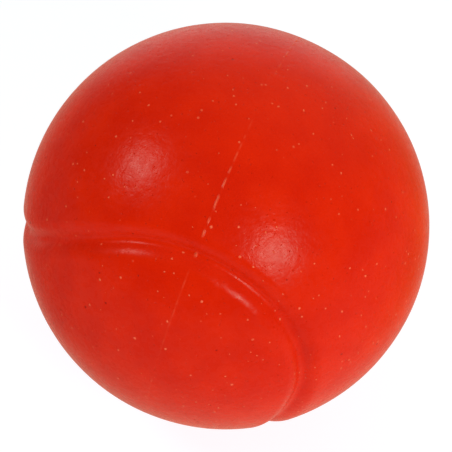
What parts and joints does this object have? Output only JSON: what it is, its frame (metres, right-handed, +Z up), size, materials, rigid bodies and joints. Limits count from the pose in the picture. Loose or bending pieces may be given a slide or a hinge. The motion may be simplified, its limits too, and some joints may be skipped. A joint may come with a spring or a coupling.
{
  "type": "dodgeball",
  "caption": "Round inflatable rubber dodgeball with interlocking curved cover panels, a moulded seam groove, a mould flash line, a wound air bladder and a needle valve.",
  "frame": {"origin": "centre of the ball", "axes": "+Z up as the ball lies in the picture, +Y straight out through the valve, on the side away from the viewer"},
  "size_m": [0.1518, 0.1522, 0.152],
  "materials": {
    "cover_rubber": "satin orange-red moulded rubber, dusty and finely pitted",
    "winding_thread": "wound nylon thread in latex",
    "bladder_rubber": "matte black butyl rubber",
    "patch_cloth": "rubberised cotton cloth",
    "valve_rubber": "matte dark grey moulded rubber"
  },
  "bodies": {
    "ball": {"upper_cover_panel": "cover_rubber", "lower_cover_panel": "cover_rubber", "winding_layer": "winding_thread", "bladder": "bladder_rubber", "valve_patch": "patch_cloth", "valve_housing": "valve_rubber"},
    "valve_core": {"valve_core": "valve_rubber"}
  },
  "joints": [
    {"name": "valve_core_pull", "type": "slide", "parent": "ball", "child": "valve_core", "axis": [0, 1, 0], "range_m": [0, 0.022]}
  ]
}
